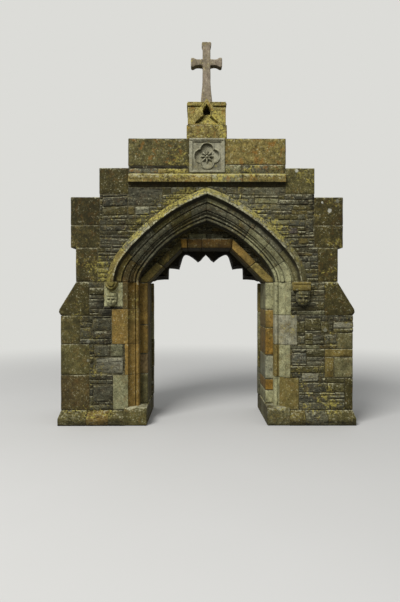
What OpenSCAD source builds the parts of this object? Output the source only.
// Arched stone gateway of a churchyard, with a moulded four-centred arch under a hood mould,
// a three-sided inner head, a cusped arch at the back, side buttresses and a cross on a gablet.
// X runs across the front, Y from the front (-Y) to the back, and Z up, in millimetres.
// The origin is in the middle of the footprint, on the ground. Side 1 is +X and side -1 is -X.

/* [Passage] */
// Clear width between the inner jambs
opening_w = 1550; // [1450:10:1650]
// Height of the springing line above the ground
springing_h = 1815; // [1600:5:2100]
// Height of the flat soffit above the springing line
lintel_rise = 447; // [425:1:500]
// Width of the flat soffit between the haunch stones
lintel_flat_w = 660; // [600:10:740]
// Height of the lintel
lintel_h = 130; // [100:5:150]
// Face width of the sloping haunch stones
haunch_face = 100; // [70:5:125]
// Depth from the wall face to the inner order
order_depth = 250; // [220:5:280]
// Depth from the inner order back to the fill above its head
ledge_depth = 80; // [40:5:110]
// Face width of the inner order beside the bead
inner_face = 95; // [80:5:110]
// Chamfer on the arris of the inner order
inner_chamfer = 14; // [5:1:25]

/* [Arch] */
// Radius of the short arc beside the springing, at the edge of the arch
haunch_r = 314; // [290:1:340]
// Radius of the long arc that rises to the crown
crown_r = 1593; // [1520:1:1680]
// Angle that the short arc turns through
haunch_angle = 32.6; // [31:0.1:34.5]
// Depth of the arch stones from the edge to the back of the ring
ring_w = 210; // [195:5:225]
// Mortar joint between the springer and the long stones above it
mortar = 4; // [2:0.5:8]
// Width of the band of three rolls on the face of the arch
roll_band = 132; // [120:1:145]
// Radius of each of the three rolls
roll_r = 20; // [15:0.5:22]
// Width of the hollow chamfer of the jamb, and depth of the splay of the arch
splay = 82; // [70:1:95]
// Radius of the hollow in the chamfer
hollow_r = 90; // [75:1:140]
// Width of the bead between the chamfer and the inner order
bead_w = 49; // [38:1:56]
// Depth of the sunk line beside the bead
quirk = 14; // [8:1:20]

/* [Hood mould] */
// Distance from the edge of the arch to the back of the hood
hood_w = 349; // [320:1:380]
// Distance from the edge of the arch to the inner side of the hood
hood_in = 165; // [150:1:180]
// How far the hood stands out from the wall
hood_proj = 85; // [65:1:100]
// Height of the plain nose of the hood
hood_nose = 15; // [8:1:25]
// Width of the sloping top of the hood
hood_slope = 84; // [60:1:95]
// Thickness of the lower lip of the hood at the wall
hood_lip = 5; // [3:0.5:10]
// Gap between the crown of the hood and the string course
hood_gap = 2; // [1:1:20]

/* [Label stops] */
// Width of the block under the foot of the hood
stop_w = 250; // [220:5:280]
// Height of the whole label stop
stop_h = 308; // [280:2:340]
// How far the block stands out from the wall
stop_proj = 100; // [90:1:120]
// Height of the moulded block above the carved head
stop_block_h = 92; // [70:1:110]
// Chamfer along the lower edge of the block
stop_chamfer = 24; // [10:1:34]
// Radius of the round body of the carved head
stop_head_r = 84; // [70:1:90]
// How far the middle of the head stands out from the wall
stop_head_out = 30; // [20:1:50]
// Radius of the neck that joins the head to the block
stop_neck_r = 58; // [40:1:65]

/* [Walls] */
// Depth of the whole gateway from wall face to wall face
gate_depth = 1000; // [940:10:1100]
// Width across both buttresses below their offset
lower_w = 3692; // [3600:2:3900]
// Width across both buttresses above their offset
upper_w = 3304; // [3240:2:3400]
// Width across the tops of the buttresses
head_w = 3430; // [3400:2:3560]
// Height of the block on top of each buttress
head_h = 635; // [560:5:700]
// Drop from the wall top to the top of the buttress
head_drop = 130; // [100:5:180]
// Width across both shoulder stones
shoulder_w = 2708; // [2600:2:2800]
// Height of a shoulder stone
shoulder_h = 327; // [280:1:360]
// Drop from the wall top to the bed of the shoulder stones
shoulder_drop = 90; // [60:5:95]
// Height of the sloping stone at the offset
weathering_h = 425; // [400:5:480]
// Height of its slope
weathering_slope_h = 359; // [300:1:380]
// How far its lower edge oversails the buttress
weathering_drip = 27; // [15:1:40]
// Height of the vertical lower edge of that slope
weathering_lip = 30; // [20:1:40]
// How far that stone runs in behind the side of the upper buttress
weathering_tail = 162; // [100:2:220]

/* [Feet] */
// Height of the plinth
plinth_h = 190; // [150:5:220]
// How far the plinth stands out from the wall
plinth_proj = 40; // [25:1:60]
// Height of the slope on the plinth
plinth_slope_h = 100; // [60:5:120]
// Height of the plain block under the jambs
base_h = 230; // [225:5:280]
// How far that block stands into the passage
base_proj = 15; // [5:1:25]
// Height of the slope on that block
base_slope_h = 60; // [40:1:90]
// Width of the jamb stones behind the edge of the arch
jamb_tail = 121; // [110:1:140]

/* [Back] */
// Thickness of the cusped arch
cusped_t = 150; // [120:5:180]
// Depth of its face behind the back face of the wall
back_recess = 40; // [25:1:60]
// How far the back jambs stand into the passage
back_jamb_proj = 30; // [15:1:40]
// Rebate along the edge of the back arch
back_rebate = 30; // [15:1:35]

/* [Parapet] */
// Width of the parapet
parapet_w = 1980; // [1900:10:2060]
// Height of the string course
string_h = 170; // [150:1:190]
// How far the string course stands out from the wall
string_proj = 60; // [45:1:75]
// Radius of the hollow under the string course
string_hollow = 55; // [40:1:55]
// Height of the slope on top of the string course
string_slope_h = 25; // [15:1:35]
// Height of the thin course above the string course
thin_course_h = 110; // [90:1:130]
// Height of the coping stones
coping_h = 330; // [300:5:360]

/* [Panel] */
// Width of the quatrefoil panel
panel_w = 446; // [420:1:480]
// Thickness of the panel
panel_t = 140; // [110:5:180]
// How far the panel stands out from the coping
panel_proj = 12; // [5:1:25]
// Width of the frame round the panel
panel_frame = 46; // [35:1:60]
// Depth of the sunk field inside the frame
field_sunk = 18; // [10:1:25]
// Depth of the quatrefoil below the field
foil_sunk = 34; // [20:1:45]
// Radius of each lobe of the quatrefoil
lobe_r = 86; // [75:1:92]
// Distance of each lobe from the middle
lobe_out = 76; // [65:1:80]
// Radius of the boss in the middle
boss_r = 60; // [40:1:70]
// Height of the boss above the sunk quatrefoil
boss_h = 20; // [10:1:34]

/* [Gablet] */
// Width of the block that carries the gablet
seat_w = 522; // [500:2:560]
// Depth of that block from front to back
seat_depth = 600; // [560:5:640]
// Height of that block
seat_h = 233; // [200:1:260]
// Width of the gablet block
gablet_w = 495; // [470:1:520]
// Depth of the gablet block from front to back
gablet_depth = 540; // [500:5:556]
// Height of the gablet block
gablet_h = 300; // [270:1:330]
// Radius of the roll along its top edges
gablet_roll = 24; // [15:1:30]
// Width across the feet of each raised gable
gable_w = 430; // [400:1:450]
// How far the apex of each gable rises above the block
gable_over = 48; // [30:1:70]
// Height of the feet of each gable above the bed of the block
gable_foot = 52; // [30:1:70]
// Face width of the sloping bands of each gable
gable_band = 62; // [45:1:70]
// Thickness of each gable behind the face of the block
gable_t = 70; // [40:1:110]
// How far each gable stands out from the block
gable_proj = 20; // [10:1:28]
// Width of the pointed niche
niche_w = 210; // [180:1:230]
// Depth of the niche
niche_depth = 95; // [60:1:120]
// Height of the niche up to its springing
niche_side_h = 60; // [40:1:80]
// Height of the pointed head of the niche
niche_head_h = 200; // [170:1:220]

/* [Cross] */
// Height of the cross above the gablet block
cross_h = 887; // [800:1:950]
// Span of the arms
cross_span = 422; // [380:1:460]
// Thickness of the cross from front to back
cross_t = 110; // [90:1:130]
// Width of the shaft
shaft_w = 108; // [95:1:125]
// Width of the shaft at its foot
foot_w = 172; // [150:1:200]
// Height of the tapered foot
foot_h = 330; // [250:1:380]
// Height of the middle of the arms below the top
arm_drop = 277; // [240:1:310]
// Width of an arm beside the middle
arm_w = 84; // [75:1:95]
// Width of the flared ends of the arms and of the head
flare_w = 138; // [120:1:160]
// Length of each flared end
flare_h = 62; // [40:1:75]

/* [Hidden] */

$fn = 96;
// The origin is in the middle of everything that stands out in front and behind
stop_reach = max(stop_proj, stop_head_out + stop_head_r);
set_back = (stop_reach - string_proj) / 2;
front = set_back - gate_depth / 2;
back = set_back + gate_depth / 2;
inner_front = front + order_depth;
cusped_front = back - back_recess - cusped_t;
cusped_back = back - back_recess;

// Half widths, measured from the middle of the passage
passage_half = opening_w / 2;
arch_half = passage_half + inner_face + bead_w;
ring_half = arch_half + ring_w;
jamb_half = arch_half + jamb_tail;
back_half = passage_half - back_jamb_proj;
lower_half = lower_w / 2;
upper_half = upper_w / 2;
head_half = head_w / 2;
shoulder_half = shoulder_w / 2;
parapet_half = parapet_w / 2;

// Centres of the two arcs, measured from the springing line
haunch_x = arch_half - haunch_r;
crown_x = haunch_x - (crown_r - haunch_r) * cos(haunch_angle);
crown_z = -(crown_r - haunch_r) * sin(haunch_angle);

// Height of the arch above the springing line, at a distance out from its edge
function apex(out) = crown_z + sqrt((crown_r + out) * (crown_r + out) - crown_x * crown_x);

// Heights above the ground
wall_top = springing_h + apex(hood_w) + hood_gap;
string_top = wall_top + string_h;
thin_top = string_top + thin_course_h;
parapet_top = thin_top + coping_h;
seat_top = parapet_top + seat_h;
gablet_top = seat_top + gablet_h;
head_top = wall_top - head_drop;
head_bed = head_top - head_h;
shoulder_bed = wall_top - shoulder_drop;
weathering_bed_z = springing_h - weathering_h;
weathering_in = upper_half - weathering_tail;
lintel_z = springing_h + lintel_rise;

// The outer side of the head is parallel to its inner side, at the face width of the haunches
haunch_slope = atan2(lintel_rise, passage_half - lintel_flat_w / 2);
haunch_foot = passage_half + haunch_face / sin(haunch_slope);
haunch_top = haunch_foot - (lintel_rise + lintel_h) / tan(haunch_slope);

reach = 2 * (springing_h + lower_w);
// How much smaller the disc is that ties the two arcs together
arc_tie = 1;

// Cuts a shape that is drawn in elevation out of a slab between two depths
module slab(y0, y1) {
  translate([0, y1, 0]) rotate([90, 0, 0]) linear_extrude(y1 - y0) children();
}

// Runs a section, drawn as depth and height, along X
module along_x(x0, x1) {
  translate([x0, 0, 0]) rotate([90, 0, 90]) linear_extrude(x1 - x0) children();
}

// Stands the right-hand shape on the chosen side
module on_side(side) {
  if (side > 0) children(); else mirror([1, 0, 0]) children();
}

// What the short arc on the right encloses, at a distance out from the edge of the arch.
// A slightly smaller disc runs on past the line where the two arcs meet, and ties them together.
module haunch_disc(out) {
  intersection() {
    translate([haunch_x, springing_h]) circle(haunch_r + out);
    arc_side(0);
  }
  translate([haunch_x, springing_h]) circle(haunch_r + out - arc_tie);
}

// What the long arc on the right encloses
module crown_disc(out) {
  intersection() {
    translate([crown_x, springing_h + crown_z]) circle(crown_r + out, $fn = 256);
    arc_side(1);
  }
}

// The right half of the space under the arch, at a distance out from its edge, above the springing
module arch_space(out) {
  intersection() {
    translate([0, springing_h]) square([reach, reach]);
    union() {
      haunch_disc(out);
      crown_disc(out);
    }
  }
}

// The whole of that space, drawn across the middle in one piece
module whole_space(out) {
  intersection() {
    translate([-reach, springing_h]) square([2 * reach, reach]);
    union() {
      intersection() {
        crown_disc(out);
        mirror([1, 0]) crown_disc(out);
      }
      haunch_disc(out);
      mirror([1, 0]) haunch_disc(out);
    }
  }
}

// The ring of arch stones, from a distance out to the back of the ring
module arch_ring(out) {
  difference() {
    whole_space(ring_w);
    whole_space(out);
  }
}

// One side of the line through both arc centres, above it or below it
module arc_side(above) {
  translate([haunch_x, springing_h]) rotate(haunch_angle)
    translate([-reach, above ? 0 : -reach]) square([2 * reach, reach]);
}

// Carries a section along the short arc on the right, up from the springing line.
// The section is drawn with X out from the edge of the arch and Y out from the wall face.
module along_haunch(face) {
  translate([haunch_x, face, springing_h]) rotate([90, 0, 0])
    rotate_extrude(angle = haunch_angle) translate([haunch_r, 0]) children();
}

// Carries the same section along the long arc, above a joint of a chosen width, to the crown
module along_crown(face, joint) {
  lift = joint / crown_r * 180 / PI;
  sweep = acos(-crown_x / (crown_r + hood_w)) + 1 - haunch_angle;
  intersection() {
    translate([crown_x, face, springing_h + crown_z]) rotate([90, 0, 0])
      rotate([0, 0, haunch_angle + lift]) rotate_extrude(angle = sweep - lift, $fn = 256)
        translate([crown_r, 0]) children();
    translate([0, -reach, 0]) cube([reach, 2 * reach, reach]);
  }
}

// The bead and the plain reveal behind it, shared by the jamb and the arch
module bead_section() {
  bead_depth = splay + quirk + bead_w / 2;
  translate([-bead_w / 2, -bead_depth]) circle(bead_w / 2);
  translate([-bead_w, -order_depth]) square([bead_w, order_depth - bead_depth]);
}

// Section of the jamb: a hollow chamfer, a sunk line and a bead
module jamb_section() {
  chord = splay / sqrt(2);
  out = sqrt(hollow_r * hollow_r - chord * chord) / sqrt(2);
  difference() {
    polygon([[jamb_tail, 0], [splay, 0], [0, -splay], [0, -order_depth], [jamb_tail, -order_depth]]);
    translate([splay / 2 - out, out - splay / 2]) circle(hollow_r);
  }
  bead_section();
}

// Section of the arch: three rolls on a splay, then the same bead as the jamb
module arch_section() {
  steps = 3;
  tilt = atan2(splay, roll_band);
  sunk = roll_r * 0.8;
  polygon([[ring_w, 0], [roll_band, 0], [roll_band + sunk * sin(tilt), -sunk * cos(tilt)],
    [0, -splay - sunk / cos(tilt) + sunk * sin(tilt) * tan(tilt)],
    [0, -order_depth], [ring_w, -order_depth]]);
  for (i = [0:steps - 1])
    translate([roll_band * (i + 0.5) / steps + sunk * sin(tilt) * 0.5,
      -splay * (1 - (i + 0.5) / steps) - sunk * cos(tilt) * 0.5])
      circle(roll_r);
  bead_section();
}

// Section of the hood: a sloping top, a nose and a deep hollow
module hood_section() {
  difference() {
    polygon([[hood_w, 0], [hood_w - hood_slope, hood_proj], [hood_in, hood_proj], [hood_in, 0]]);
    translate([hood_in, hood_proj + hood_lip])
      circle(hood_w - hood_slope - hood_nose - hood_in);
  }
}

module plinth(side) {
  color("#6f6a55") on_side(side) intersection() {
    slab(front - plinth_proj, back + plinth_proj)
      polygon([[jamb_half, 0], [lower_half + plinth_proj, 0],
        [lower_half + plinth_proj, plinth_h - plinth_slope_h],
        [lower_half, plinth_h], [jamb_half, plinth_h]]);
    along_x(0, reach)
      polygon([[front - plinth_proj, 0], [back + plinth_proj, 0],
        [back + plinth_proj, plinth_h - plinth_slope_h], [back, plinth_h],
        [front, plinth_h], [front - plinth_proj, plinth_h - plinth_slope_h]]);
  }
}

module pier(side) {
  color("#77705d") on_side(side) slab(front, back)
    polygon([[jamb_half, plinth_h], [lower_half, plinth_h], [lower_half, weathering_bed_z],
      [weathering_in, weathering_bed_z],
      [weathering_in, springing_h], [jamb_half, springing_h]]);
}

module weathering(side) {
  slope_foot = springing_h - weathering_slope_h;
  color("#8a7f55") on_side(side) slab(front, back)
    polygon([[weathering_in, weathering_bed_z], [lower_half, weathering_bed_z],
      [lower_half + weathering_drip, slope_foot - weathering_lip],
      [lower_half + weathering_drip, slope_foot],
      [upper_half, springing_h], [weathering_in, springing_h]]);
}

module upper_pier(side) {
  color("#77705d") on_side(side) slab(front, back)
    polygon([[ring_half, springing_h], [upper_half, springing_h], [upper_half, head_bed],
      [shoulder_half, head_bed], [shoulder_half, shoulder_bed], [ring_half, shoulder_bed]]);
}

module buttress_head(side) {
  color("#877c52") on_side(side) slab(front, back)
    translate([shoulder_half, head_bed]) square([head_half - shoulder_half, head_h]);
}

module shoulder(side) {
  color("#82784f") on_side(side) slab(front, back)
    translate([parapet_half, shoulder_bed]) square([shoulder_half - parapet_half, shoulder_h]);
}

module jamb_base(side) {
  foot = passage_half - base_proj;
  color("#86805c") on_side(side) along_x(foot, jamb_half)
    polygon([[front - plinth_proj, 0], [back + plinth_proj, 0],
      [back + plinth_proj, base_h - base_slope_h], [back, base_h],
      [front, base_h], [front - plinth_proj, base_h - base_slope_h]]);
}

module jamb(side) {
  color("#a9905a") on_side(side) translate([arch_half, front, base_h])
    linear_extrude(springing_h - base_h) mirror([0, 1]) jamb_section();
}

module arch(side) {
  color("#8b8468") on_side(side) {
    along_haunch(front) arch_section();
    along_crown(front, mortar) arch_section();
  }
}

module hood(side) {
  color("#a79a55") on_side(side) {
    along_haunch(front) hood_section();
    along_crown(front, mortar) hood_section();
  }
}

module label_stop(side) {
  middle = arch_half + (hood_in + hood_w) / 2;
  color("#b9b49c") on_side(side) translate([middle, front, springing_h]) {
    translate([-stop_w / 2, 0, -stop_block_h]) rotate([90, 0, 90]) linear_extrude(stop_w)
      polygon([[-stop_proj, stop_chamfer], [-stop_proj, stop_block_h], [0, stop_block_h],
        [0, 0], [stop_chamfer - stop_proj, 0]]);
    translate([-stop_w, -2 * stop_proj, -stop_h]) intersection() {
      cube([2 * stop_w, 2 * stop_proj, stop_h - stop_block_h]);
      translate([stop_w, 2 * stop_proj - stop_head_out, 0]) {
        translate([0, 0, stop_head_r]) sphere(stop_head_r);
        translate([0, 0, stop_head_r]) cylinder(h = stop_h, r = stop_neck_r);
      }
    }
  }
}

module inner_jamb(side) {
  color("#a98a4e") on_side(side) translate([0, 0, base_h])
    linear_extrude(springing_h - base_h)
      polygon([[passage_half + inner_chamfer, inner_front], [jamb_half, inner_front],
        [jamb_half, cusped_front], [passage_half, cusped_front],
        [passage_half, inner_front + inner_chamfer]]);
}

module haunch(side) {
  color("#a98a4e") on_side(side) slab(inner_front, cusped_front)
    polygon([[passage_half, springing_h], [haunch_foot, springing_h],
      [haunch_top, lintel_z + lintel_h], [lintel_flat_w / 2, lintel_z]]);
}

module lintel() {
  color("#9c7c45") slab(inner_front, cusped_front)
    polygon([[-lintel_flat_w / 2, lintel_z], [lintel_flat_w / 2, lintel_z],
      [haunch_top, lintel_z + lintel_h], [-haunch_top, lintel_z + lintel_h]]);
}

// Fill between the inner head and the back of the arch ring, set back above the lintel
module tympanum() {
  color("#4f4a3c") difference() {
    union() {
      slab(inner_front + ledge_depth, cusped_front) whole_space(ring_w);
      slab(inner_front, inner_front + ledge_depth) difference() {
        whole_space(ring_w);
        whole_space(-bead_w);
      }
    }
    slab(front, back) polygon([[-haunch_foot, springing_h], [haunch_foot, springing_h],
      [haunch_top, lintel_z + lintel_h], [-haunch_top, lintel_z + lintel_h]]);
  }
}

module back_jamb(side) {
  color("#6b6552") on_side(side) translate([0, 0, base_h])
    linear_extrude(springing_h - base_h)
      polygon([[back_half, cusped_front], [jamb_half, cusped_front], [jamb_half, back],
        [arch_half + back_rebate, back], [arch_half + back_rebate, back - back_rebate],
        [arch_half, back - back_rebate], [arch_half, cusped_back], [back_half, cusped_back]]);
}

// Foils of the cusped arch: place across the half passage, height above the springing, radius
FOILS = [[0.342, 237, 155], [0.611, 118, 110], [0.868, -50, 122]];
// The pointed middle foil: half width at its cusps and its height between them and its point
middle_foil = [113, 300, 405];

module cusped_arch(side) {
  color("#4a4840") on_side(side) slab(cusped_front, cusped_back) difference() {
    arch_space(0);
    translate([0, springing_h]) {
      for (foil = FOILS) translate([foil[0] * back_half, foil[1]]) circle(foil[2]);
      polygon([[-1, -1], [middle_foil[0], -1], [middle_foil[0], middle_foil[1]],
        [0, middle_foil[2]], [-1, middle_foil[2]]]);
      polygon([[0, -1], [back_half, -1], [back_half, 20], [0.73 * back_half, 55],
        [0.53 * back_half, 192], [middle_foil[0], middle_foil[1]], [0, middle_foil[1]]]);
    }
  }
}

module back_arch() {
  color("#6b6552") {
    slab(cusped_front, back - back_rebate) arch_ring(0);
    slab(back - back_rebate, back) arch_ring(back_rebate);
  }
}

module spandrel(side) {
  color("#77705d") on_side(side) slab(front, back) difference() {
    polygon([[0, springing_h], [ring_half, springing_h], [ring_half, shoulder_bed],
      [parapet_half, shoulder_bed], [parapet_half, wall_top], [0, wall_top]]);
    arch_space(ring_w);
  }
}

// Section of the string course: a sloping top, a plain face and a hollow below, front and back
module string_section() {
  difference() {
    polygon([[front, 0], [back, 0], [back + string_proj, 0],
      [back + string_proj, string_h - string_slope_h], [back, string_h],
      [front, string_h], [front - string_proj, string_h - string_slope_h],
      [front - string_proj, 0]]);
    for (edge = [front - string_proj, back + string_proj]) translate([edge, 0]) circle(string_hollow);
  }
}

module string_course() {
  color("#978a55") translate([0, 0, wall_top]) along_x(-parapet_half, parapet_half)
    string_section();
}

// The space that the quatrefoil panel takes in the stones behind it
module panel_space() {
  translate([-panel_w / 2, front - panel_proj, string_top])
    cube([panel_w, panel_t + panel_proj, parapet_top - string_top]);
}

module thin_course() {
  color("#7c745c") difference() {
    slab(front, back) translate([-parapet_half, string_top]) square([parapet_w, thin_course_h]);
    panel_space();
  }
}

module coping(side) {
  color("#8d8154") difference() {
    on_side(side) slab(front, back) translate([0, thin_top]) square([parapet_half, coping_h]);
    panel_space();
  }
}

module quatrefoil_panel() {
  field = panel_w - 2 * panel_frame;
  face = front - panel_proj;
  middle = (string_top + parapet_top) / 2;
  color("#c3c0b4") {
    difference() {
      panel_space();
      translate([-field / 2, face - 1, string_top + panel_frame])
        cube([field, field_sunk + 1, parapet_top - string_top - 2 * panel_frame]);
      translate([0, face, middle]) for (turn = [0:90:270])
        rotate([0, turn, 0]) translate([lobe_out, field_sunk + foil_sunk, 0])
          rotate([90, 0, 0]) cylinder(h = foil_sunk + 1, r = lobe_r);
    }
    translate([0, face + field_sunk + foil_sunk, middle]) rotate([90, 0, 0])
      cylinder(h = boss_h, r = boss_r);
  }
}

module gablet_seat() {
  color("#a08a45") translate([-seat_w / 2, -seat_depth / 2, parapet_top])
    cube([seat_w, seat_depth, seat_h]);
}

// Outline of a gable with its feet at a chosen inset from the outer edge of the sloping bands
module gable_outline(inset) {
  rise = gablet_h + gable_over - gable_foot;
  slope = atan2(rise, gable_w / 2);
  shift = inset / sin(slope);
  polygon([[-gable_w / 2 + shift, 0], [gable_w / 2 - shift, 0],
    [0, (gable_w / 2 - shift) * tan(slope)]]);
}

// A pointed niche: straight sides and two arcs that meet at the point
module niche_outline() {
  arc_r = (niche_w * niche_w / 4 + niche_head_h * niche_head_h) / niche_w;
  translate([-niche_w / 2, 0]) square([niche_w, niche_side_h]);
  translate([0, niche_side_h]) intersection() {
    translate([-niche_w / 2, 0]) square([niche_w, niche_head_h]);
    translate([arc_r - niche_w / 2, 0]) circle(arc_r);
    translate([niche_w / 2 - arc_r, 0]) circle(arc_r);
  }
}

module gablet() {
  half = gablet_depth / 2;
  color("#a5934a") translate([0, 0, seat_top]) difference() {
    union() {
      translate([-gablet_w / 2, -half, 0]) cube([gablet_w, gablet_depth, gablet_h]);
      for (end = [-1, 1]) {
        translate([end * (gablet_w / 2 - gablet_roll / 2), half, gablet_h - gablet_roll])
          rotate([90, 0, 0]) cylinder(h = gablet_depth, r = gablet_roll);
        translate([0, end * (half + (gable_proj - gable_t) / 2), gable_foot])
          rotate([90, 0, 0]) linear_extrude(gable_proj + gable_t, center = true)
            gable_outline(0);
      }
    }
    for (turn = [0, 180]) rotate([0, 0, turn]) {
      translate([0, -half - 1, gable_foot - 1]) rotate([90, 0, 0])
        linear_extrude(gable_proj + 2) gable_outline(gable_band);
      translate([0, niche_depth - half, 1]) rotate([90, 0, 0])
        linear_extrude(niche_depth + gable_proj + 1) niche_outline();
    }
  }
}

// Outline of an arm that flares at its end, drawn along X from the middle of the cross
module arm_outline(length, width) {
  polygon([[0, -width / 2], [length - flare_h, -width / 2], [length, -flare_w / 2],
    [length, flare_w / 2], [length - flare_h, width / 2], [0, width / 2]]);
}

module cross() {
  color("#b79d92") translate([0, cross_t / 2, gablet_top]) rotate([90, 0, 0])
    linear_extrude(cross_t) {
      polygon([[-foot_w / 2, 0], [foot_w / 2, 0], [shaft_w / 2, foot_h],
        [shaft_w / 2, cross_h - arm_drop], [-shaft_w / 2, cross_h - arm_drop],
        [-shaft_w / 2, foot_h]]);
      translate([0, cross_h - arm_drop]) {
        arm_outline(cross_span / 2, arm_w);
        rotate(180) arm_outline(cross_span / 2, arm_w);
        rotate(90) arm_outline(arm_drop, shaft_w);
      }
    }
}

plinth(-1);  // left_plinth
plinth(1);  // right_plinth
pier(-1);  // left_pier
pier(1);  // right_pier
weathering(-1);  // left_weathering
weathering(1);  // right_weathering
upper_pier(-1);  // left_upper_pier
upper_pier(1);  // right_upper_pier
buttress_head(-1);  // left_buttress_head
buttress_head(1);  // right_buttress_head
shoulder(-1);  // left_shoulder
shoulder(1);  // right_shoulder
jamb_base(-1);  // left_jamb_base
jamb_base(1);  // right_jamb_base
jamb(-1);  // left_jamb
jamb(1);  // right_jamb
arch(-1);  // left_arch
arch(1);  // right_arch
hood(-1);  // left_hood
hood(1);  // right_hood
label_stop(-1);  // left_label_stop
label_stop(1);  // right_label_stop
inner_jamb(-1);  // left_inner_jamb
inner_jamb(1);  // right_inner_jamb
haunch(-1);  // left_haunch
haunch(1);  // right_haunch
lintel();
tympanum();
back_jamb(-1);  // left_back_jamb
back_jamb(1);  // right_back_jamb
cusped_arch(-1);  // left_cusped_arch
cusped_arch(1);  // right_cusped_arch
back_arch();
spandrel(-1);  // left_spandrel
spandrel(1);  // right_spandrel
string_course();
thin_course();
coping(-1);  // left_coping
coping(1);  // right_coping
quatrefoil_panel();
gablet_seat();
gablet();
cross();
